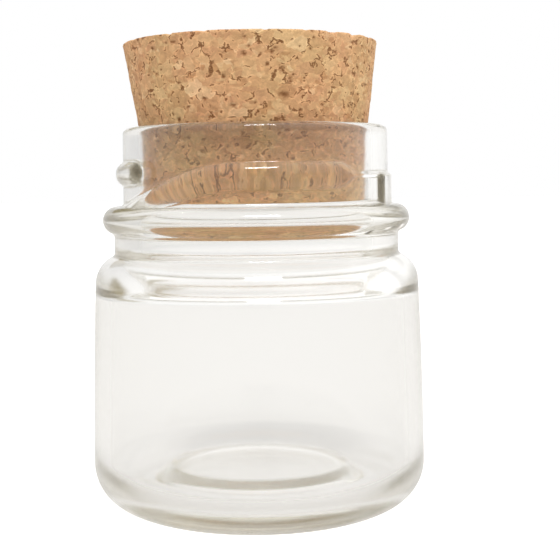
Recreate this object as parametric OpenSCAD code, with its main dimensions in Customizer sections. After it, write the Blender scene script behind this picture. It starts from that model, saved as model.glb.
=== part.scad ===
// Wide-mouth glass jar with a tapered cork stopper.
// The origin is the centre of the ring that the jar stands on, with +Z up.
// All lengths are millimetres and all angles are degrees.

/* [Glass body] */
// Height from the table to the rim
jar_h = 70.2; // [66:0.2:78]
// Outside radius of the body where it is widest, above the heel
body_r = 31; // [30:0.25:34]
// How much slimmer the body is under the shoulder
body_taper = 0.6; // [0:0.1:1.2]
// Thickness of the body wall
wall_t = 3; // [2:0.1:3.6]
// Radius of the shoulder's outside curve
shoulder_round = 5.5; // [4:0.25:6.5]
// Distance from the rim down to where the shoulder curve turns into the body
shoulder_drop = 29; // [28:0.25:32]
// Radius of the heel's outside curve
heel_round = 8; // [5:0.25:9]

/* [Base] */
// Thickness of the glass in the middle of the base
base_t = 3.6; // [3.4:0.1:4.6]
// Depth of the hollow that is pressed up under the base
push_up = 3.8; // [0.4:0.1:4.2]
// Width of the flat ring that the jar stands on
foot_w = 3.5; // [0.8:0.1:5]
// Width of the slope between that ring and the flat top of the hollow
hollow_slope = 5; // [3.5:0.25:6]
// Radius of the inside curve between wall and floor
floor_round = 5; // [3.5:0.25:5.25]
// How much the middle of the inside floor stands above the floor around it
floor_rise = 2.8; // [0:0.1:2.9]
// Radius of that raised middle's flat top
rise_r = 16; // [13:0.25:16.5]
// Width of the slope around the raised middle
rise_slope = 4; // [3:0.25:4.5]

/* [Neck] */
// Outside radius of the neck
neck_r = 25; // [24.4:0.1:25.8]
// Radius of the bore that takes the cork
bore_r = 22; // [20.6:0.1:22.6]
// Radius of the rim's outside edge
rim_round = 1.2; // [0.5:0.1:1.4]
// Radius of the rim's inside edge
mouth_round = 0.9; // [0.4:0.1:1.1]
// Outside radius of the bead around the foot of the neck
bead_r = 28.9; // [28:0.1:29.6]
// Radius of the bead's rounded section
bead_round = 2.6; // [2.2:0.1:2.9]
// Distance from the rim down to the middle of the bead
bead_drop = 17.2; // [16.6:0.1:17.8]
// Radius at the bottom of the groove between bead and shoulder
groove_r = 26.8; // [26.2:0.1:27.2]
// Radius of the hollow fillets beside the bead and in the groove
fillet_r = 0.9; // [0.4:0.1:1.1]
// Distance from the rim down to where the bore starts to widen
bore_drop = 22; // [21.5:0.25:24]
// Height over which the inside opens out from the bore to the body
flare_h = 9.5; // [9:0.5:14]

/* [Thread] */
// Height of the ridge's rounded section where it leaves the bead
thread_h = 5.4; // [3:0.1:5.8]
// Share of that height which the ridge has lost at its blunt end
thread_slim = 0.18; // [0:0.02:0.3]
// How far the ridge stands out from the neck
thread_proud = 1.35; // [0.8:0.05:1.6]
// Angle around the neck where the ridge leaves the bead
thread_start = -80; // [-130:1:-70]
// Angle that the ridge runs around the neck
thread_sweep = 386; // [300:2:420]
// Angle that the ridge takes to climb off the bead
lead_in = 72; // [60:1:110]
// Distance from the rim down to the middle of the ridge after its climb
thread_drop = 9.6; // [9.2:0.1:10.4]
// How much the ridge still rises from there to its blunt end
thread_rise = 1.1; // [0:0.1:1.6]
// Angle around the neck of the mould's seam, where the ridge is relieved
seam_at = 80; // [60:1:110]
// Share of the ridge's section that is taken away at the seam
seam_relief = 0.3; // [0:0.05:0.5]
// Angle around the neck that the pad at the seam takes
pad_sweep = 40; // [24:1:50]
// How far the pad stands out from the neck
pad_proud = 0.75; // [0.4:0.05:0.85]

/* [Cork] */
// Radius of the cork's top
cork_r = 24.1; // [23:0.1:26]
// Height of the cork above the rim
cork_stand = 15.8; // [10:0.2:22]
// Length of the cork below the rim
cork_plug = 14.8; // [10:0.2:22]
// Gap between the cork's cone and the mouth that stops it
seat_gap = 0.25; // [0.1:0.05:0.4]
// Gap between the pressed plug and the bore
plug_gap = 0.8; // [0.4:0.05:1.2]
// How much slimmer the plug is at its lower end
plug_taper = 0.3; // [0:0.05:0.8]
// Radius of the cork's worn edges
cork_edge = 0.6; // [0.2:0.1:1.2]

/* [Hidden] */
$fn = 144;

// Steps in one arc or curve of a profile
ARC_STEPS = 10;
CURVE_STEPS = 16;

glass_colour = [0.87, 0.88, 0.83, 0.45];
cork_colour = [0.79, 0.62, 0.42];

// Body heights and radii that follow from the sizes above
shoulder_z = jar_h - shoulder_drop;
shoulder_r = body_r - body_taper;
foot_r = body_r - heel_round;
hollow_r = foot_r - foot_w;
middle_z = push_up + base_t;
floor_z = middle_z - floor_rise;

// The bead and the hollow fillets that run into it from above and below
bead_z = jar_h - bead_drop;
bead_x = bead_r - bead_round;

// Thread stations: one every few degrees, and closer at the rounded end
THREAD_STEP = 6;
END_STEPS = 4;
SECTION_STEPS = 8;
thread_half = thread_h / 2;
thread_z = jar_h - thread_drop;
// Depth of the ridge's root inside the neck wall
root_depth = 0.6;
// The round end takes as much of the turn as the section's half height
end_sweep = thread_half / neck_r * 180 / PI;
// Extra width of the ridge where it flows out of the bead
bead_blend = 1.5;
// Angles over which the relief at the seam is whole, and over which it fades
relief_sweep = 66;
relief_fade = 12;
// The pad's flanks, its steps, and the share of its depth that they start with
pad_flank = 5;
PAD_STEPS = 16;
flank_root = 0.2;

// Cork radii: the cone ends at the mouth, and the plug is pressed smaller
seat_r = bore_r - seat_gap;
plug_r = bore_r - plug_gap;
// Length below the rim in which the cork goes from the cone to the plug
press_h = 0.8;

// Points on an arc about [x, z], from angle a0 to angle a1. An arc that goes on from
// the last one leaves out the point that they share.
function arc(x, z, r, a0, a1, goes_on = false) =
    [for (i = [goes_on ? 1 : 0:ARC_STEPS])
        let (a = a0 + (a1 - a0) * i / ARC_STEPS) [x + r * cos(a), z + r * sin(a)]];

// Eases from 0 to 1 while t goes from 0 to 1, level at both ends
function ease(t) = let (u = min(max(t, 0), 1)) u * u * (3 - 2 * u);

// Outside radius of the body at height z, widest at the heel
function body_x(z) =
    body_r - body_taper * pow((z - heel_round) / (shoulder_z - heel_round), 2);

// Height between a round's centre and the centre of a fillet that also touches a wall
function fillet_reach(round_r, dx) = sqrt(pow(round_r + fillet_r, 2) - dx * dx);

// Shoulder, groove and bead, joined by hollow fillets
function neck_foot() =
    let (
        shoulder_x = shoulder_r - shoulder_round,
        low_dx = groove_r + fillet_r - shoulder_x,
        low_dz = fillet_reach(shoulder_round, low_dx),
        low_a = atan2(low_dz, low_dx),
        under_dx = groove_r + fillet_r - bead_x,
        under_dz = fillet_reach(bead_round, under_dx),
        under_a = atan2(under_dz, under_dx),
        top_dx = neck_r + fillet_r - bead_x,
        top_dz = fillet_reach(bead_round, top_dx),
        top_a = atan2(top_dz, top_dx)
    )
    concat(
        arc(shoulder_x, shoulder_z, shoulder_round, 0, low_a),
        arc(groove_r + fillet_r, shoulder_z + low_dz, fillet_r, 180 + low_a, 180, true),
        arc(groove_r + fillet_r, bead_z - under_dz, fillet_r, 180, 180 - under_a),
        arc(bead_x, bead_z, bead_round, -under_a, top_a, true),
        arc(neck_r + fillet_r, bead_z + top_dz, fillet_r, 180 + top_a, 180, true)
    );

// Height of a step that is level up to radius flat_r and then slopes down to nothing
function step_down(h, x, flat_r, slope) = h * (1 - ease((x - flat_r) / slope));

// Underside, heel and side of the body
function body_outside() = concat(
    [[0, push_up]],
    [for (i = [0:CURVE_STEPS])
        let (flat_r = hollow_r - hollow_slope, x = flat_r + hollow_slope * i / CURVE_STEPS)
        [x, step_down(push_up, x, flat_r, hollow_slope)]],
    arc(body_r - heel_round, heel_round, heel_round, -90, 0),
    [for (i = [1:CURVE_STEPS - 1])
        let (z = heel_round + (shoulder_z - heel_round) * i / CURVE_STEPS) [body_x(z), z]]
);

// Rim, bore, flare, inside wall and floor, from the rim down to the axis
function inside() =
    let (
        flare_z = jar_h - bore_drop,
        flare_x = body_x(flare_z - flare_h) - wall_t,
        floor_x = body_r - wall_t
    )
    concat(
        arc(neck_r - rim_round, jar_h - rim_round, rim_round, 0, 90),
        arc(bore_r + mouth_round, jar_h - mouth_round, mouth_round, 90, 180),
        [for (i = [0:CURVE_STEPS]) let (t = i / CURVE_STEPS)
            [bore_r + (flare_x - bore_r) * ease(t), flare_z - flare_h * t]],
        arc(floor_x - floor_round, floor_z + floor_round, floor_round, 0, -90),
        [for (i = [0:CURVE_STEPS])
            let (x = rise_r + rise_slope * (1 - i / CURVE_STEPS))
            [x, floor_z + step_down(floor_rise, x, rise_r, rise_slope)]],
        [[0, middle_z]]
    );

module jar_shell() {
    rotate_extrude()
        polygon(concat(body_outside(), neck_foot(), inside()));
}

// Angles along the ridge, measured from where it leaves the bead
function thread_stations() =
    let (straight = thread_sweep - end_sweep, n = ceil(straight / THREAD_STEP))
    concat(
        [for (i = [0:n]) straight * i / n],
        [for (i = [1:END_STEPS]) straight + end_sweep * sin(90 * i / (END_STEPS + 0.3))]
    );

// Shrinks the section to nothing over the blunt end, like a ball
function end_scale(a) =
    let (t = max(a - (thread_sweep - end_sweep), 0) / end_sweep) sqrt(1 - t * t);

// Thins the ridge where it crosses the mould's seam
function seam_scale(a) =
    let (off = abs(a + thread_start - seam_at) - relief_sweep / 2)
    1 - seam_relief * (1 - ease(off / relief_fade));

// Height of the ridge's middle: off the bead, level, then gently up to the end
function ridge_z(a) =
    let (low_z = bead_z + bead_round - thread_half)
    low_z + (thread_z - low_z) * ease(a / lead_in) + thread_rise * a / thread_sweep;

// How far the ridge stands out: it flows out of the bead and then keeps its height
function ridge_proud(a) =
    end_scale(a) * seam_scale(a) * (thread_proud + bead_blend * (1 - ease(a / lead_in * 2)));

// Half of the ridge's height
function ridge_half(a) =
    thread_half * (1 - thread_slim * a / thread_sweep) * end_scale(a) * seam_scale(a);

// One section of the ridge, a half ellipse with its root inside the wall
function ridge_section(a) =
    let (turn = thread_start - 90 + a)
    [for (j = [0:SECTION_STEPS])
        let (
            s = 180 * j / SECTION_STEPS,
            r = neck_r - root_depth + (ridge_proud(a) + root_depth) * sin(s)
        )
        [r * cos(turn), r * sin(turn), ridge_z(a) + ridge_half(a) * cos(s)]];

// One section of the pad, an upright strip from the bead to the middle of the ridge
function pad_section(b) =
    let (
        turn = seam_at - 90 + b,
        flank = ease((pad_sweep / 2 - abs(b)) / pad_flank),
        depth = (pad_proud + root_depth) * (flank_root + (1 - flank_root) * flank),
        low = neck_r - root_depth,
        top_z = ridge_z(seam_at - thread_start + b)
    )
    [for (p = [[low, top_z], [low + depth, top_z], [low + depth, bead_z], [low, bead_z]])
        [p.x * cos(turn), p.x * sin(turn), p.y]];

// A solid skin over sections that all have the same number of points
module swept(sections) {
    rings = len(sections);
    m = len(sections[0]);
    sides = [for (i = [0:rings - 2]) for (j = [0:m - 1])
        let (k = (j + 1) % m) each [
            [i * m + j, (i + 1) * m + k, i * m + k],
            [i * m + j, (i + 1) * m + j, (i + 1) * m + k]
        ]];
    first_cap = [for (j = [1:m - 2]) [0, j, j + 1]];
    last_cap = [for (j = [1:m - 2]) [for (v = [0, j + 1, j]) (rings - 1) * m + v]];
    polyhedron([for (section = sections) each section], concat(sides, first_cap, last_cap));
}

module thread_ridge() {
    swept([for (a = thread_stations()) ridge_section(a)]);
}

module seam_pad() {
    swept([for (i = [0:PAD_STEPS])
        pad_section(pad_sweep / 2 * sin(90 * (2 * i / PAD_STEPS - 1)))]);
}

module glass_jar() {
    color(glass_colour) {
        union() {
            jar_shell();
            thread_ridge();
            seam_pad();
        }
    }
}

module cork_stopper() {
    top_z = jar_h + cork_stand;
    low_z = jar_h - cork_plug;
    low_r = plug_r - plug_taper;
    cone_a = atan2(cork_r - seat_r, cork_stand);
    color(cork_colour)
        rotate_extrude()
            polygon(concat(
                [[0, low_z]],
                arc(low_r - cork_edge, low_z + cork_edge, cork_edge, -90, 0),
                [[plug_r, jar_h - mouth_round - press_h]],
                [[seat_r, jar_h - mouth_round], [seat_r, jar_h]],
                arc(cork_r - cork_edge, top_z - cork_edge, cork_edge, -cone_a, 90),
                [[0, top_z]]
            ));
}

glass_jar();
cork_stopper();
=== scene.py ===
"""A small glass jar with a tapered cork stopper, on a white table in soft light."""
import math
import random

import bpy
from mathutils import Matrix, Vector, kdtree, noise


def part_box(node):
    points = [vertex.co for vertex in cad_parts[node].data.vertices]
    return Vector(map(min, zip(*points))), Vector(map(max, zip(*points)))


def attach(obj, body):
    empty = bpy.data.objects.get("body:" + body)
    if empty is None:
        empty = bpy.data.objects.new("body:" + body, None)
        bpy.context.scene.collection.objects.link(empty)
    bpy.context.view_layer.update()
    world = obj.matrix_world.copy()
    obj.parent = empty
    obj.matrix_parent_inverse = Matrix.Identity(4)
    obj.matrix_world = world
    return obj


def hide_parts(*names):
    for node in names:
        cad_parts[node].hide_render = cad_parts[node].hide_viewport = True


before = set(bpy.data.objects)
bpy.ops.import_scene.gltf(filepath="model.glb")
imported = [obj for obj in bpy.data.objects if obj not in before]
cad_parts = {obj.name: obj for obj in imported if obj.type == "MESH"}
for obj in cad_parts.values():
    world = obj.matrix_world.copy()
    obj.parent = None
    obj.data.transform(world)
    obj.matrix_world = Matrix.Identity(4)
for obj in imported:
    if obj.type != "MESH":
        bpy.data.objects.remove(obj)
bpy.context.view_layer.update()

MM = 0.001

# The two pieces' boxes, as the frame has them, in millimetres as all sizes here
jar_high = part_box("glass_jar")[1] / MM
cork_low, cork_high = (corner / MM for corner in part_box("cork_stopper"))

# The jar's body, floor and foot
JAR_H = jar_high.z
BODY_R = 31.0
BODY_TAPER = 0.6
WALL_T = 3.0
SHOULDER_ROUND = 5.5
SHOULDER_DROP = 29.0
HEEL_ROUND = 8.0
BASE_T = 3.6
PUSH_UP = 3.8
FOOT_W = 3.5
HOLLOW_SLOPE = 5.0
FLOOR_ROUND = 5.0
FLOOR_RISE = 2.8
RISE_R = 16.0
RISE_SLOPE = 4.0

# The neck and what it opens into
NECK_R = 25.0
BORE_R = 22.0
RIM_ROUND = 1.2
MOUTH_ROUND = 0.9
BEAD_R = 28.9
BEAD_ROUND = 2.6
BEAD_DROP = 17.2
GROOVE_R = 26.8
FILLET_R = 0.9
BORE_DROP = 22.0
FLARE_H = 9.5
JAR_STEPS = 288

# The thread ridge and the pad under it; angles in degrees from the front, anticlockwise from above
THREAD_H = 5.4
THREAD_SLIM = 0.18
THREAD_PROUD = 1.35
THREAD_START = -80.0
THREAD_SWEEP = 386.0
LEAD_IN = 72.0
THREAD_DROP = 9.6
THREAD_RISE = 1.1
ROOT_DEPTH = 0.6
BEAD_BLEND = 1.5
SEAM_AT = 80.0
SEAM_RELIEF = 0.8
RELIEF_SWEEP = 66.0
RELIEF_FADE = 12.0
PAD_SWEEP = 40.0
PAD_PROUD = 0.75
PAD_FLANK = 5.0
# The heights on the neck that they reach, and how deep its face may lie to be pushed out
THREAD_FOOT = 0.2
THREAD_CEILING = 1.5
FACE_DEPTH = 0.3

# The cork, and how it leans where a hand has pushed it in
CORK_R = cork_high.x
PLUG_R = BORE_R - 0.8
SEAT_R = BORE_R - 0.25
PLUG_TAPER = 0.3
CORK_EDGE = 0.6
TOP_EDGE = 0.12
PRESS_H = 0.8
GLASS_GAP = 0.05
CORK_STEPS = 144
RIM_LEAN = -0.25
TOP_LEAN = -0.75

# The cork's ground skin: granules cut at uneven levels, with joins between them
SKIN_MESH = 0.32
CARVING_SEED = 23
GRANULES = 1500
GRANULE_STEP = 0.09
JOIN_W = 0.6
JOIN_DEPTH = 0.06
ROUGH = 0.05
ROUGH_SIZE = 0.9
SWIRL = 0.7
SWIRL_SIZE = 1.6

# Its pits, whose depth is a share of their size, and whose rims are ragged
PITS = 420
SMALL_SHARE = 0.88
SMALL_PIT = (0.24, 0.4)
LARGE_PIT = (0.4, 0.6)
PIT_DEEP = (0.35, 0.9)
PIT_STRETCH = (1.0, 3.0)
PIT_RAGGED = 0.35
PIT_RAGGED_SIZE = 0.5

# The chips in its top edge, and how far down and in they go
CHIP_H = 1.2
CHIP_W = 1.6
CHIP_FADE = 0.8
CHIP_DEPTH = 0.9
CHIP_SIZE = 2.2
CHIP_RARE = 0.12
CHIP_SMOOTH = 0.6

# The cork's pattern: the sizes of its granules, gaps and patches, and how deep its relief is
BIG_GRANULE = 2.7
SMALL_GRANULE = 1.1
GRANULE_FLAT = 1.4
RAGGED = 1.3
RAGGED_SIZE = 1.5
CELL_GRAIN = 1.0
GAP_SIZE = 1.4
SPOT_SIZE = 1.5
PATCH_SIZE = 9.0
RELIEF = 0.12

# The tent round the jar, and how much each dim thing in it takes away
TENT_LOW = 1.0
TENT_HIGH = 1.3
ROOM_DIM = 0.4
HOOD_DIM = 0.75
SHELF_DIM = 0.35

# The colour sockets of a Mix node, which share their names with its number sockets
COLOUR_A, COLOUR_B, MIXED = 6, 7, 2

SHOULDER_Z = JAR_H - SHOULDER_DROP
BEAD_Z = JAR_H - BEAD_DROP
BEAD_X = BEAD_R - BEAD_ROUND
HOLLOW_R = BODY_R - HEEL_ROUND - FOOT_W
MIDDLE_Z = PUSH_UP + BASE_T
FLOOR_Z = MIDDLE_Z - FLOOR_RISE


def deselect():
    """Operators act on all that is selected, and loading the frame leaves its nodes selected."""
    bpy.ops.object.select_all(action="DESELECT")


def ease(t):
    """A smooth step from 0 to 1."""
    t = min(max(t, 0.0), 1.0)
    return t * t * (3 - 2 * t)


def arc(x, z, r, a0, a1, steps=14, goes_on=False):
    """Points of an arc round (x, z); one that goes on from the last point leaves out its first."""
    first = 1 if goes_on else 0
    turns = [math.radians(a0 + (a1 - a0) * i / steps) for i in range(first, steps + 1)]
    return [(x + r * math.cos(a), z + r * math.sin(a)) for a in turns]


def straight(a, b, steps):
    """Points between a and b, without either."""
    return [(a[0] + (b[0] - a[0]) * i / steps, a[1] + (b[1] - a[1]) * i / steps)
            for i in range(1, steps)]


def fillet_rise(round_r, dx):
    """The height between the middles of a round and of a fillet on it that are dx apart across."""
    return math.sqrt((round_r + FILLET_R) ** 2 - dx * dx)


def body_x(z):
    """The body's radius, which draws in slightly towards the shoulder."""
    return BODY_R - BODY_TAPER * ((z - HEEL_ROUND) / (SHOULDER_Z - HEEL_ROUND)) ** 2


def step_down(h, x, flat_r, slope):
    """The height of a flat middle h high that slopes down to nothing."""
    return h * (1 - ease((x - flat_r) / slope))


def foot_and_side():
    """The outside from the middle of the hollow under the jar up to the shoulder."""
    flat_r = HOLLOW_R - HOLLOW_SLOPE
    hollow = [(0, PUSH_UP)] + straight((0, PUSH_UP), (flat_r, PUSH_UP), 10)
    hollow += [(x, step_down(PUSH_UP, x, flat_r, HOLLOW_SLOPE)) for x in
               (flat_r + HOLLOW_SLOPE * i / 20 for i in range(21))]
    hollow += straight(hollow[-1], (BODY_R - HEEL_ROUND, 0), 4)
    heel = arc(BODY_R - HEEL_ROUND, HEEL_ROUND, HEEL_ROUND, -90, 0, 24)
    side = [(body_x(z), z) for z in
            (HEEL_ROUND + (SHOULDER_Z - HEEL_ROUND) * i / 24 for i in range(1, 24))]
    return hollow + heel + side


def shoulder_and_neck():
    """Shoulder, groove and bead, joined by fillets, and the neck up to its rounded rim."""
    shoulder_x = BODY_R - BODY_TAPER - SHOULDER_ROUND
    low_dx = GROOVE_R + FILLET_R - shoulder_x
    low_dz = fillet_rise(SHOULDER_ROUND, low_dx)
    low_a = math.degrees(math.atan2(low_dz, low_dx))
    under_dx = GROOVE_R + FILLET_R - BEAD_X
    under_dz = fillet_rise(BEAD_ROUND, under_dx)
    under_a = math.degrees(math.atan2(under_dz, under_dx))
    top_dx = NECK_R + FILLET_R - BEAD_X
    top_dz = fillet_rise(BEAD_ROUND, top_dx)
    top_a = math.degrees(math.atan2(top_dz, top_dx))
    foot_of_neck = (
        arc(shoulder_x, SHOULDER_Z, SHOULDER_ROUND, 0, low_a, 20)
        + arc(GROOVE_R + FILLET_R, SHOULDER_Z + low_dz, FILLET_R, 180 + low_a, 180, 10, True)
        + arc(GROOVE_R + FILLET_R, BEAD_Z - under_dz, FILLET_R, 180, 180 - under_a, 10)
        + arc(BEAD_X, BEAD_Z, BEAD_ROUND, -under_a, top_a, 30, True)
        + arc(NECK_R + FILLET_R, BEAD_Z + top_dz, FILLET_R, 180 + top_a, 180, 10, True)
    )
    rim = arc(NECK_R - RIM_ROUND, JAR_H - RIM_ROUND, RIM_ROUND, 0, 90, 12)
    return foot_of_neck + straight(foot_of_neck[-1], rim[0], 40) + rim


def bore_and_floor():
    """The mouth, the straight bore, the flare to the body, and the floor with its raised middle."""
    mouth = arc(BORE_R + MOUTH_ROUND, JAR_H - MOUTH_ROUND, MOUTH_ROUND, 90, 180, 10)
    flare_z = JAR_H - BORE_DROP
    flare_x = body_x(flare_z - FLARE_H) - WALL_T
    flare = [(BORE_R + (flare_x - BORE_R) * ease(i / 32), flare_z - FLARE_H * i / 32)
             for i in range(33)]
    bore = straight(mouth[-1], flare[0], 12)
    floor_x = BODY_R - WALL_T - FLOOR_ROUND
    corner = arc(floor_x, FLOOR_Z + FLOOR_ROUND, FLOOR_ROUND, 0, -90, 24)
    side = straight(flare[-1], corner[0], 12)
    floor = straight(corner[-1], (RISE_R + RISE_SLOPE, FLOOR_Z), 4)
    floor += [(x, FLOOR_Z + step_down(FLOOR_RISE, x, RISE_R, RISE_SLOPE)) for x in
              (RISE_R + RISE_SLOPE * (1 - i / 20) for i in range(21))]
    floor += straight((RISE_R, MIDDLE_Z), (0, MIDDLE_Z), 10) + [(0, MIDDLE_Z)]
    return mouth + bore + flare + side + corner + floor


def spun(name, outline, steps):
    """Draws a half outline point by point and spins it round the axis into a closed shell."""
    here = Vector((outline[0][0] * MM, 0, outline[0][1] * MM))
    deselect()
    bpy.ops.mesh.primitive_plane_add(size=MM, location=here)
    piece = bpy.context.object
    piece.name = name
    bpy.ops.object.mode_set(mode="EDIT")
    bpy.ops.mesh.select_all(action="SELECT")
    bpy.ops.mesh.merge(type="CENTER")
    for x, z in outline[1:]:
        there = Vector((x * MM, 0, z * MM))
        bpy.ops.mesh.extrude_vertices_move(TRANSFORM_OT_translate={"value": there - here})
        here = there
    bpy.ops.mesh.select_all(action="SELECT")
    bpy.ops.mesh.spin(steps=steps, angle=math.tau, center=(0, 0, 0), axis=(0, 0, 1))
    # The last step lies on the first, and all the points on the axis lie on each other
    bpy.ops.mesh.select_all(action="SELECT")
    bpy.ops.mesh.remove_doubles(threshold=0.002 * MM)
    bpy.ops.mesh.normals_make_consistent(inside=False)
    bpy.ops.object.mode_set(mode="OBJECT")
    bpy.ops.object.transform_apply(location=True, rotation=True, scale=True)
    bpy.ops.object.shade_smooth()
    return piece


def ridge_height(theta, z):
    """How far the thread ridge or the pad under it stands out of the neck, by angle and height."""
    out = 0.0
    turn = (theta - THREAD_START) % 360
    low_z = BEAD_Z + BEAD_ROUND - THREAD_H / 2
    end_sweep = math.degrees(THREAD_H / 2 / NECK_R)
    # The ridge is a little more than one turn, so it can pass an angle twice
    for a in (turn, turn + 360):
        if a > THREAD_SWEEP:
            continue
        off = abs(a + THREAD_START - SEAM_AT) - RELIEF_SWEEP / 2
        scale = 1 - SEAM_RELIEF * (1 - ease(off / RELIEF_FADE))
        past = max(a - (THREAD_SWEEP - end_sweep), 0) / end_sweep
        scale *= math.sqrt(max(1 - past * past, 0))
        mid = low_z + (JAR_H - THREAD_DROP - low_z) * ease(a / LEAD_IN)
        mid += THREAD_RISE * a / THREAD_SWEEP
        half = max(THREAD_H / 2 * (1 - THREAD_SLIM * a / THREAD_SWEEP) * scale, 0.01)
        proud = scale * (THREAD_PROUD + BEAD_BLEND * (1 - ease(a / LEAD_IN * 2)))
        across = (z - mid) / half
        if abs(across) < 1:
            out = max(out, (proud + ROOT_DEPTH) * math.sqrt(1 - across * across) - ROOT_DEPTH)
        from_seam = abs(a + THREAD_START - SEAM_AT)
        if from_seam < PAD_SWEEP / 2 and z < mid:
            out = max(out, PAD_PROUD * ease((PAD_SWEEP / 2 - from_seam) / PAD_FLANK))
    return out


def raise_thread(jar):
    """Pushes the neck's outer face out along the ridge, from the bead to just under the rim."""
    for v in jar.data.vertices:
        x, y, z = v.co / MM
        r = math.hypot(x, y)
        if r < NECK_R - FACE_DEPTH or z < BEAD_Z + THREAD_FOOT or z > JAR_H - THREAD_CEILING:
            continue
        theta = math.degrees(math.atan2(y, x)) + 90
        out = max(NECK_R + ridge_height(theta, z), r)
        v.co.x *= out / r
        v.co.y *= out / r


def srgb(value):
    """An sRGB hex colour as linear red, green, blue and alpha."""
    parts = [int(value[i:i + 2], 16) / 255 for i in (1, 3, 5)]
    return [c / 12.92 if c <= 0.04045 else ((c + 0.055) / 1.055) ** 2.4 for c in parts] + [1.0]


def node(tree, kind, settings=None, links=None):
    """Adds a node, sets its properties and plain inputs, and links the inputs that are sockets."""
    made = tree.nodes.new(kind)
    for key, value in (settings or {}).items():
        if isinstance(key, str) and hasattr(made, key):
            setattr(made, key, value)
        else:
            made.inputs[key].default_value = value
    for key, value in (links or {}).items():
        tree.links.new(value, made.inputs[key])
    return made


def new_material(name):
    """An empty material, and its node tree."""
    made = bpy.data.materials.new(name)
    made.use_nodes = True
    made.node_tree.nodes.clear()
    return made, made.node_tree


def pressed_soda_lime_glass():
    """Clear soda-lime glass, pressed in a mould and fire-polished: it shows the room through it,
    bent and grey-green where it is thick, with soft bright lines where the wall turns."""
    made, tree = new_material("pressed_soda_lime_glass")
    # Use has worn the foot, so that the base shows a little less sharply than the neck
    worn_z, bright_z = 5 * MM, 14 * MM
    worn_rough, bright_rough = 0.15, 0.08
    place = node(tree, "ShaderNodeTexCoord").outputs["Object"]
    height = node(tree, "ShaderNodeSeparateXYZ", {}, {"Vector": place})
    rough = node(tree, "ShaderNodeMapRange", {
        "From Min": worn_z, "From Max": bright_z, "To Min": worn_rough,
        "To Max": bright_rough}, {"Value": height.outputs["Z"]})
    shader = node(tree, "ShaderNodeBsdfPrincipled", {
        "Base Color": (1, 1, 1, 1), "IOR": 1.52, "Transmission Weight": 1.0},
        {"Roughness": rough.outputs["Result"]})
    # Traces of iron in the sand tint it; the density is per metre of glass
    tint = node(tree, "ShaderNodeVolumeAbsorption", {"Color": srgb("#f1efe8"), "Density": 50.0})
    node(tree, "ShaderNodeOutputMaterial", {}, {
        "Surface": shader.outputs[0], "Volume": tint.outputs[0]})
    return made


def ragged_place(tree, place):
    """Object coordinates in which round cells come out as torn, flattened granules."""
    wander = node(tree, "ShaderNodeTexNoise", {"Scale": 1 / (RAGGED_SIZE * MM), "Detail": 3.0},
                  {"Vector": place})
    offset = node(tree, "ShaderNodeVectorMath", {
        "operation": "MULTIPLY_ADD", 1: (2 * RAGGED * MM,) * 3, 2: (-RAGGED * MM,) * 3},
        {0: wander.outputs["Color"]})
    # The press has flattened the granules to 1.4 times as wide as high
    flat = node(tree, "ShaderNodeVectorMath", {
        "operation": "MULTIPLY_ADD", 1: (1.0, 1.0, GRANULE_FLAT)},
        {0: place, 2: offset.outputs["Vector"]})
    return flat.outputs["Vector"]


def granule_tone(tree, ragged):
    """A random number for each granule; every second big one is broken up into small ones."""
    big = node(tree, "ShaderNodeTexVoronoi", {"Scale": 1 / (BIG_GRANULE * MM)},
               {"Vector": ragged})
    small = node(tree, "ShaderNodeTexVoronoi", {"Scale": 1 / (SMALL_GRANULE * MM)},
                 {"Vector": ragged})
    big_tone = node(tree, "ShaderNodeSeparateColor", {}, {"Color": big.outputs["Color"]})
    small_tone = node(tree, "ShaderNodeSeparateColor", {}, {"Color": small.outputs["Color"]})
    broken = node(tree, "ShaderNodeMath", {"operation": "GREATER_THAN", 1: 0.45},
                  {0: big_tone.outputs["Green"]})
    tone = node(tree, "ShaderNodeMix", {"data_type": "FLOAT"}, {
        "Factor": broken.outputs[0], "A": big_tone.outputs["Red"],
        "B": small_tone.outputs["Red"]})
    return tone.outputs[0]


# Granule colours, from the bark-side brown to the pale cut flakes
CORK_TONES = ((0.0, "#b3875f"), (0.12, "#b98f68"), (0.30, "#c1986f"), (0.46, "#be916c"),
              (0.60, "#c49b72"), (0.78, "#c7a076"), (0.92, "#cca67c"), (1.0, "#d5b189"))


def granule_colour(tree, tone, grain):
    """Each granule's own brown, made lighter and darker by its cell grain."""
    ramp = node(tree, "ShaderNodeValToRGB", {}, {"Fac": tone})
    tones = ramp.color_ramp
    tones.elements[0].color = srgb(CORK_TONES[0][1])
    tones.elements[-1].color = srgb(CORK_TONES[-1][1])
    for at, colour in CORK_TONES[1:-1]:
        tones.elements.new(at).color = srgb(colour)
    gain = node(tree, "ShaderNodeMapRange", {
        "From Min": 0.3, "From Max": 0.7, "To Min": 0.80, "To Max": 1.20}, {"Value": grain})
    grained = node(tree, "ShaderNodeMix", {
        "data_type": "RGBA", "blend_type": "MULTIPLY", "Factor": 1.0},
        {COLOUR_A: ramp.outputs["Color"], COLOUR_B: gain.outputs["Result"]})
    return grained.outputs[MIXED]


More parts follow.
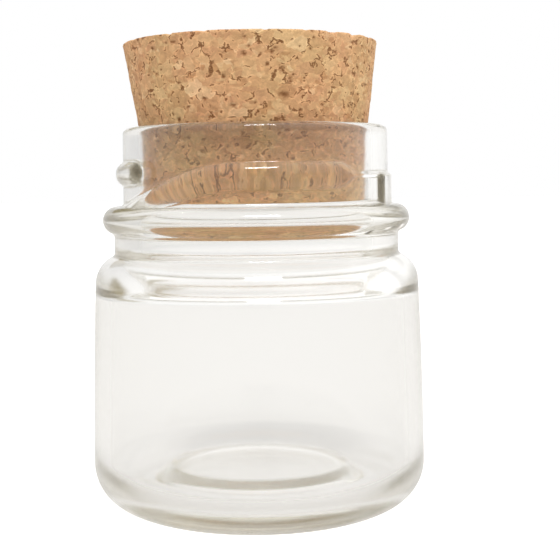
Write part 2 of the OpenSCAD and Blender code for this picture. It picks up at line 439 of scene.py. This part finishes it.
def into_gap(tree, place, ragged):
    """How far inside a slit, pore or spot a point is, where granules don't quite meet."""
    patchy = node(tree, "ShaderNodeTexNoise", {"Scale": 1 / (GAP_SIZE * MM), "Detail": 1.0},
                  {"Vector": place})
    depths = []
    # Slits run between big granules and pores between small ones, both only in places
    for size, rare, common, shut, open_by in ((BIG_GRANULE, 0.36, 0.60, -0.16, 0.055),
                                              (SMALL_GRANULE, 0.50, 0.72, -0.2, 0.10)):
        edge = node(tree, "ShaderNodeTexVoronoi", {
            "feature": "DISTANCE_TO_EDGE", "Scale": 1 / (size * MM)}, {"Vector": ragged})
        width = node(tree, "ShaderNodeMapRange", {
            "From Min": rare, "From Max": common, "To Min": shut, "To Max": open_by},
            {"Value": patchy.outputs["Fac"]})
        depth = node(tree, "ShaderNodeMath", {"operation": "SUBTRACT"},
                     {0: width.outputs["Result"], 1: edge.outputs["Distance"]})
        depths.append(depth.outputs[0])
    # Spots are the dark ends of the bark's own pores, in a quarter of the cells
    spots = node(tree, "ShaderNodeTexVoronoi", {"Scale": 1 / (SPOT_SIZE * MM)},
                 {"Vector": ragged})
    chance = node(tree, "ShaderNodeSeparateColor", {}, {"Color": spots.outputs["Color"]})
    reach = node(tree, "ShaderNodeMapRange", {
        "From Min": 0.6, "From Max": 1.0, "To Min": -0.1, "To Max": 0.17},
        {"Value": chance.outputs["Red"]})
    depth = node(tree, "ShaderNodeMath", {"operation": "SUBTRACT"},
                 {0: reach.outputs["Result"], 1: spots.outputs["Distance"]})
    depths.append(depth.outputs[0])
    deepest = depths[0]
    for depth in depths[1:]:
        deepest = node(tree, "ShaderNodeMath", {"operation": "MAXIMUM"},
                       {0: deepest, 1: depth}).outputs[0]
    return deepest


def plug_painted_light(tree, height, behind):
    """Gains on the colour above the rim, under it and at the plug's end. Under the rim they are
    painted light, which brightens the plug behind the glass, most at its end.
    """
    top_gain = (1.05, 1.05, 1.04, 1)
    # Painted light: the plug under the rim is drawn brighter, most of all at its end
    rim_painted_light, end_painted_light = (1.08, 1.02, 0.93, 1), (1.62, 1.62, 1.40, 1)
    deeper = node(tree, "ShaderNodeMapRange", {
        "From Min": (JAR_H - 1) * MM, "From Max": cork_low.z * MM}, {"Value": height})
    plug = node(tree, "ShaderNodeMix", {
        "data_type": "RGBA", COLOUR_A: rim_painted_light, COLOUR_B: end_painted_light},
        {"Factor": deeper.outputs["Result"]})
    gain = node(tree, "ShaderNodeMix", {"data_type": "RGBA", COLOUR_A: top_gain},
                {"Factor": behind, COLOUR_B: plug.outputs[MIXED]})
    return gain.outputs[MIXED]


def patch_tint(tree, place):
    """Some patches of the block hold rosier granules and some yellower ones."""
    rosy, yellow = (1.03, 0.97, 0.95, 1), (0.99, 1.02, 0.96, 1)
    patch = node(tree, "ShaderNodeTexNoise", {"Scale": 1 / (PATCH_SIZE * MM), "Detail": 1.0},
                 {"Vector": place})
    yellower = node(tree, "ShaderNodeMapRange", {"From Min": 0.4, "From Max": 0.6},
                    {"Value": patch.outputs["Fac"]})
    tint = node(tree, "ShaderNodeMix", {
        "data_type": "RGBA", COLOUR_A: rosy, COLOUR_B: yellow},
        {"Factor": yellower.outputs["Result"]})
    return tint.outputs[MIXED]


def fine_relief(tree, tone, grain, dark):
    """Relief finer than the mesh: the grain, and on its scale the granules and their gaps."""
    granule_step, gap_step = 0.25, -1.5
    level = node(tree, "ShaderNodeMath", {"operation": "MULTIPLY_ADD", 1: granule_step},
                 {0: tone, 2: grain})
    sunk = node(tree, "ShaderNodeMath", {"operation": "MULTIPLY_ADD", 1: gap_step},
                {0: dark, 2: level.outputs[0]})
    bump = node(tree, "ShaderNodeBump", {"Strength": 0.7, "Distance": RELIEF * MM},
                {"Height": sunk.outputs[0]})
    return bump.outputs["Normal"]


def agglomerated_cork():
    """Cork granules pressed together with binder and ground to a cone: a dull, warm brown
    patchwork of torn flakes, with dark slits and pits between them, a painted highlight on the
    lips beside those and painted light on the plug behind the glass."""
    made, tree = new_material("agglomerated_cork")
    place = node(tree, "ShaderNodeTexCoord").outputs["Object"]
    ragged = ragged_place(tree, place)
    tone = granule_tone(tree, ragged)
    # Cork's cells are 0.04 mm, too fine to show, so their grain is drawn about 1 mm coarse
    grain = node(tree, "ShaderNodeTexNoise", {
        "Scale": 1 / (CELL_GRAIN * MM), "Detail": 5.0, "Roughness": 0.72},
        {"Vector": ragged}).outputs["Fac"]
    grained = granule_colour(tree, tone, grain)
    deep = into_gap(tree, place, ragged)
    gap = node(tree, "ShaderNodeMapRange", {"From Min": -0.03, "From Max": 0.05},
               {"Value": deep})
    pit = node(tree, "ShaderNodeAttribute", {"attribute_name": "pit"})
    dark = node(tree, "ShaderNodeMath", {"operation": "MAXIMUM", "use_clamp": True},
                {0: gap.outputs["Result"], 1: pit.outputs["Fac"]}).outputs[0]
    # A pale lip is painted beside each gap: a painted highlight along its edge
    lip_highlight = node(tree, "ShaderNodeMapRange", {
        "From Min": -0.16, "From Max": -0.05, "To Min": 1.0, "To Max": 1.24}, {"Value": deep})
    lip_highlit = node(tree, "ShaderNodeMix", {
        "data_type": "RGBA", "blend_type": "MULTIPLY", "Factor": 1.0},
        {COLOUR_A: grained, COLOUR_B: lip_highlight.outputs["Result"]})
    # Painted light: behind the glass the gaps are drawn less dark
    rim_z, behind_z = JAR_H * MM, (JAR_H - 1.5) * MM
    height = node(tree, "ShaderNodeSeparateXYZ", {}, {"Vector": place}).outputs["Z"]
    behind = node(tree, "ShaderNodeMapRange", {"From Min": rim_z, "From Max": behind_z},
                  {"Value": height}).outputs["Result"]
    painted_gap_light = node(tree, "ShaderNodeMapRange", {"To Min": 1.0, "To Max": 0.8}, {"Value": behind})
    lightened_gaps = node(tree, "ShaderNodeMath", {"operation": "MULTIPLY"},
                 {0: dark, 1: painted_gap_light.outputs["Result"]})
    lined = node(tree, "ShaderNodeMix", {"data_type": "RGBA", COLOUR_B: srgb("#7d5433")},
                 {"Factor": lightened_gaps.outputs[0], COLOUR_A: lip_highlit.outputs[MIXED]})
    colour = lined.outputs[MIXED]
    # The patch tint is the cork's own colour; the gain on the plug behind the glass is painted
    # light
    for gain in (patch_tint(tree, place), plug_painted_light(tree, height, behind)):
        colour = node(tree, "ShaderNodeMix", {
            "data_type": "RGBA", "blend_type": "MULTIPLY", "Factor": 1.0},
            {COLOUR_A: colour, COLOUR_B: gain}).outputs[MIXED]
    shader = node(tree, "ShaderNodeBsdfPrincipled", {
        "Roughness": 0.8, "IOR": 1.4, "Specular IOR Level": 0.3},
        {"Base Color": colour, "Normal": fine_relief(tree, tone, grain, dark)})
    node(tree, "ShaderNodeOutputMaterial", {}, {"Surface": shader.outputs[0]})
    return made


def make_jar():
    """The jar, as one closed shell of glass with the thread ridge drawn out of its neck."""
    outline = foot_and_side() + shoulder_and_neck() + bore_and_floor()
    jar = spun("moulded_jar", outline, JAR_STEPS)
    raise_thread(jar)
    jar.data.materials.append(pressed_soda_lime_glass())
    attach(jar, "jar")
    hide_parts("glass_jar")


def granule_relief(points, rng):
    """How deep each point of the skin lies in its granule, or in the join between two."""
    seeds = kdtree.KDTree(GRANULES)
    levels = []
    for i in range(GRANULES):
        seeds.insert(points[rng.randrange(len(points))], i)
        levels.append(rng.random())
    seeds.balance()
    depth = []
    for p in points:
        swirl = noise.noise_vector(p / SWIRL_SIZE) * SWIRL
        (_, first, d1), (_, _, d2) = seeds.find_n(p + swirl, 2)
        deep = GRANULE_STEP * levels[first] + JOIN_DEPTH * (1 - ease((d2 - d1) / JOIN_W))
        depth.append(deep + ROUGH * (1 + noise.noise(p / ROUGH_SIZE)))
    return depth


def sink_pits(points, depth, rng):
    """Deepens the skin at pits, most of them small and longish; gives how dark each point is."""
    dark = [0.0] * len(points)
    tree = kdtree.KDTree(len(points))
    for i, p in enumerate(points):
        tree.insert(p, i)
    tree.balance()
    for _ in range(PITS):
        centre = points[rng.randrange(len(points))]
        sizes = SMALL_PIT if rng.random() < SMALL_SHARE else LARGE_PIT
        size = rng.uniform(*sizes)
        deep = rng.uniform(*PIT_DEEP) * size
        stretch = rng.uniform(*PIT_STRETCH)
        # Long pits lie rather level, as the pressed granules do
        along = Vector((rng.uniform(-1, 1), rng.uniform(-1, 1), rng.uniform(-0.6, 0.6)))
        along.normalize()
        for p, i, _ in tree.find_range(centre, size * stretch):
            arm = p - centre
            run = arm.dot(along)
            across = (arm - along * run).length
            reach = math.hypot(run / stretch, across) / size
            reach += PIT_RAGGED * noise.noise(p / PIT_RAGGED_SIZE)
            if reach < 1:
                fall = (1 - reach * reach) ** 1.5
                depth[i] = max(depth[i], deep * fall)
                dark[i] = max(dark[i], min(fall * 1.5, 1))
    return dark


def chipped(p, deep):
    """The depth at a point with the top edge's chips, which are smooth inside."""
    edge = 1 - ease((cork_high.z - p.z) / CHIP_H)
    edge *= ease((math.hypot(p.x, p.y) - CORK_R + CHIP_W) / CHIP_FADE)
    chip = max(noise.noise(Vector((p.x, p.y, 0)) / CHIP_SIZE) - CHIP_RARE, 0)
    return deep + edge * (CHIP_DEPTH * chip - CHIP_SMOOTH * deep)


def pushed_in(p):
    """A point of the cork leaned as it was pushed in, and kept within the bore and its mouth."""
    p.x += RIM_LEAN + (TOP_LEAN - RIM_LEAN) * max(p.z - JAR_H, 0) / (cork_high.z - JAR_H)
    if p.z < JAR_H:
        into_mouth = max((p.z - JAR_H) / MOUTH_ROUND + 1, 0)
        room = MOUTH_ROUND * (1 - math.sqrt(1 - into_mouth ** 2))
        limit = BORE_R - GLASS_GAP + room
        r = math.hypot(p.x, p.y)
        if r > limit:
            p.x *= limit / r
            p.y *= limit / r
    return p


def carve(cork):
    """Gives the ground cork its uneven granules, its torn pits and its chipped top edge."""
    rng = random.Random(CARVING_SEED)
    # Without a seed the noise vectors would follow the clock
    noise.seed_set(CARVING_SEED)
    mesh = cork.data
    mesh.update()
    points = [v.co / MM for v in mesh.vertices]
    normals = [v.normal.copy() for v in mesh.vertices]
    depth = granule_relief(points, rng)
    dark = sink_pits(points, depth, rng)
    for v, p, normal, deep in zip(mesh.vertices, points, normals, depth):
        v.co = pushed_in(p - normal * chipped(p, deep)) * MM
    mesh.attributes.new("pit", "FLOAT", "POINT").data.foreach_set("value", dark)
    mesh.update()


def make_cork():
    """The stopper: a cone above the rim, and a plug that the mouth presses narrow."""
    low_z, top_z = cork_low.z, cork_high.z
    outline = (
        [(0, low_z)]
        + arc(PLUG_R - PLUG_TAPER - CORK_EDGE, low_z + CORK_EDGE, CORK_EDGE, -90, 0, 6)
        + [(PLUG_R, JAR_H - MOUTH_ROUND - PRESS_H), (SEAT_R, JAR_H - MOUTH_ROUND), (SEAT_R, JAR_H)]
        + arc(CORK_R - TOP_EDGE, top_z - TOP_EDGE, TOP_EDGE, 0, 90, 6)
        + [(0, top_z)]
    )
    cork = spun("granule_cork", outline, CORK_STEPS)
    remesh = cork.modifiers.new("even_skin", "REMESH")
    remesh.mode = "VOXEL"
    remesh.voxel_size = SKIN_MESH * MM
    bpy.ops.object.modifier_apply(modifier=remesh.name)
    carve(cork)
    bpy.ops.object.shade_smooth()
    cork.data.materials.append(agglomerated_cork())
    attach(cork, "cork")
    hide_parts("cork_stopper")


def opal_acrylic_light_table():
    """Opal acrylic sheet lit from below: an even white, with a painted soft shadow of the jar
    behind it and a painted pool of light under its middle.
    """
    shadow_at, in_shadow, in_light = (0.003, 0.038, 0), 0.59, 0.708
    pool_at, pool_glow = (0, -0.004, 0), 0.14
    straight_glow = 0.5
    made, tree = new_material("opal_acrylic_light_table")
    place = node(tree, "ShaderNodeTexCoord").outputs["Object"]
    # Painted shadow: the glow is dimmed round a point just behind the jar
    off = node(tree, "ShaderNodeVectorMath", {"operation": "DISTANCE", 1: shadow_at},
               {0: place})
    shade = node(tree, "ShaderNodeMapRange", {
        "interpolation_type": "SMOOTHSTEP", "From Min": 15 * MM, "From Max": 30 * MM,
        "To Min": in_shadow, "To Max": in_light}, {"Value": off.outputs["Value"]})
    # A painted pool of light on the sheet under the jar's raised middle, for the light that the
    # glass gathers there
    near = node(tree, "ShaderNodeVectorMath", {"operation": "DISTANCE", 1: pool_at},
                {0: place})
    pool = node(tree, "ShaderNodeMapRange", {
        "From Min": 8 * MM, "From Max": 34 * MM, "To Min": pool_glow, "To Max": 0.0},
        {"Value": near.outputs["Value"]})
    lit = node(tree, "ShaderNodeMath", {"operation": "ADD"},
               {0: shade.outputs["Result"], 1: pool.outputs["Result"]})
    # Seen directly the sheet is as white as the tent, but it lights the jar less
    path = node(tree, "ShaderNodeLightPath")
    glow = node(tree, "ShaderNodeMath", {"operation": "MULTIPLY_ADD", 1: straight_glow},
                {0: path.outputs["Is Camera Ray"], 2: lit.outputs[0]})
    shader = node(tree, "ShaderNodeBsdfPrincipled", {
        "Base Color": (0.15, 0.15, 0.15, 1), "Emission Color": srgb("#fffdfa"),
        "Roughness": 0.9}, {"Emission Strength": glow.outputs[0]})
    node(tree, "ShaderNodeOutputMaterial", {}, {"Surface": shader.outputs[0]})
    return made


def make_stage():
    """A table top so large that its edge lies out of sight."""
    deselect()
    bpy.ops.mesh.primitive_plane_add(size=6, location=(0, 0, 0))
    table = bpy.context.object
    table.name = "white_table"
    table.data.materials.append(opal_acrylic_light_table())


def make_tent():
    """A white tent, brightest overhead and at the right, with a few dim things in and outside it
    that draw the glass: without them its edges would be lost against the white."""
    world = bpy.data.worlds.new("white_tent")
    bpy.context.scene.world = world
    world.use_nodes = True
    tree = world.node_tree
    tree.nodes.clear()
    way = node(tree, "ShaderNodeTexCoord").outputs["Generated"]
    split = node(tree, "ShaderNodeSeparateXYZ", {}, {"Vector": way})
    across, along, up = (split.outputs[axis] for axis in "XYZ")
    aside = node(tree, "ShaderNodeMath", {"operation": "ABSOLUTE"}, {0: across}).outputs[0]
    # Each factor: which way it follows, from where to where, and its two values
    factors = {
        "height": (up, 0.1, 0.9, TENT_LOW, TENT_HIGH),
        "front_dim": (along, 0.2, -0.9, 1.0, 0.75),
        "side": (across, -0.9, 0.9, 0.89, 1.28),
        "horizon": (up, 0.0, 0.25, 0.85, 1.0),
        "front": (along, -0.1, -0.7, 0.0, 1.0),
        "back": (along, 0.35, 0.5, 0.0, 1.0),
        "room_foot": (up, 0.025, 0.04, 0.0, 1.0),
        "room_top": (up, 0.10, 0.30, 1.0, 0.0),
        "room_side": (aside, 0.97, 0.999, 1.0, 0.0),
        "hood_top": (up, 0.68, 0.74, 1.0, 0.0),
        "hood_side": (aside, 0.18, 0.26, 1.0, 0.0),
        "back_foot": (up, 0.26, 0.31, 0.0, 1.0),
        "shelf_top": (up, 0.35, 0.40, 1.0, 0.0),
        "shelf_from": (across, 0.09, 0.13, 0.0, 1.0),
        "board_top": (up, 0.60, 0.74, 1.0, 0.0),
        "board_from": (across, -0.58, -0.46, 0.0, 1.0),
        "board_to": (across, -0.20, -0.14, 1.0, 0.0),
    }
    made = {}
    for name, (value, low, high, to_low, to_high) in factors.items():
        made[name] = node(tree, "ShaderNodeMapRange", {
            "interpolation_type": "SMOOTHSTEP", "From Min": low, "From Max": high,
            "To Min": to_low, "To Max": to_high}, {"Value": value}).outputs["Result"]
    # The tent as a whole, the dim room beyond its open front, the dark hood over the camera, a
    # shelf behind it at the right, and a wooden board that leans on it at the left
    parts = {
        "tent": ("front_dim", "side", "horizon"),
        "room": ("front", "room_foot", "room_top", "room_side"),
        "hood": ("front", "room_foot", "hood_top", "hood_side"),
        "shelf": ("back_foot", "shelf_top", "back", "shelf_from"),
        "board": ("back_foot", "board_top", "back", "board_from", "board_to"),
    }
    cover = {}
    for part, names in parts.items():
        cover[part] = made[names[0]]
        for name in names[1:]:
            cover[part] = node(tree, "ShaderNodeMath", {"operation": "MULTIPLY"},
                               {0: cover[part], 1: made[name]}).outputs[0]
    gains = [cover["tent"]]
    for part, dim in (("room", ROOM_DIM), ("hood", HOOD_DIM), ("shelf", SHELF_DIM)):
        gains.append(node(tree, "ShaderNodeMath", {"operation": "MULTIPLY_ADD", 1: -dim, 2: 1.0},
                          {0: cover[part]}).outputs[0])
    light = made["height"]
    for gain in gains:
        light = node(tree, "ShaderNodeMath", {"operation": "MULTIPLY"},
                     {0: light, 1: gain}).outputs[0]
    wall = node(tree, "ShaderNodeMix", {
        "data_type": "RGBA", COLOUR_A: (1, 1, 1, 1), COLOUR_B: srgb("#9b8f6c")},
        {"Factor": cover["board"]})
    tent = node(tree, "ShaderNodeBackground", {}, {
        "Color": wall.outputs[MIXED], "Strength": light})
    # Behind the jar the photograph is plain white
    backdrop = node(tree, "ShaderNodeBackground", {"Color": (1, 1, 1, 1), "Strength": 1.0})
    path = node(tree, "ShaderNodeLightPath")
    mix = node(tree, "ShaderNodeMixShader", {}, {
        "Fac": path.outputs["Is Camera Ray"], 1: tent.outputs[0], 2: backdrop.outputs[0]})
    node(tree, "ShaderNodeOutputWorld", {}, {"Surface": mix.outputs[0]})


def make_lamp():
    """A strip lamp over the camera, for the bright lines on the bead and the ridge."""
    lamp = bpy.data.lights.new("strip_lamp", "AREA")
    lamp.shape = "RECTANGLE"
    lamp.size = 0.22
    lamp.size_y = 0.12
    lamp.energy = 1.7
    lamp_ob = bpy.data.objects.new("strip_lamp", lamp)
    bpy.context.scene.collection.objects.link(lamp_ob)
    lamp_ob.location = (0.04, -0.37, 0.56)
    aim = Vector((0, 0, 0.05)) - lamp_ob.location
    lamp_ob.rotation_euler = aim.to_track_quat("-Z", "Y").to_euler()


def make_camera():
    """A camera at the height of the neck, close by, as the photograph was taken."""
    frame_px = 560
    focal_px = 1173
    centre_px = (255.5, 179.0)
    data = bpy.data.cameras.new("camera")
    data.sensor_width = 36
    data.lens = focal_px / frame_px * data.sensor_width
    data.shift_x = 0.5 - centre_px[0] / frame_px
    data.shift_y = centre_px[1] / frame_px - 0.5
    data.clip_start = 0.01
    camera = bpy.data.objects.new("camera", data)
    bpy.context.scene.collection.objects.link(camera)
    camera.location = (0, -0.223, 0.0604)
    roll = math.radians(-0.8)
    camera.rotation_euler = (Matrix.Rotation(math.radians(90), 3, "X")
                             @ Matrix.Rotation(roll, 3, "Z")).to_euler()
    bpy.context.scene.camera = camera


make_jar()
make_cork()
make_stage()
make_tent()
make_lamp()
make_camera()

scene = bpy.context.scene
scene.view_settings.view_transform = "Standard"
# Light crosses many glass surfaces, and where it runs out of bounces it leaves dark wedges
BOUNCES = 64
scene.cycles.max_bounces = BOUNCES
scene.cycles.transmission_bounces = BOUNCES
scene.cycles.glossy_bounces = BOUNCES
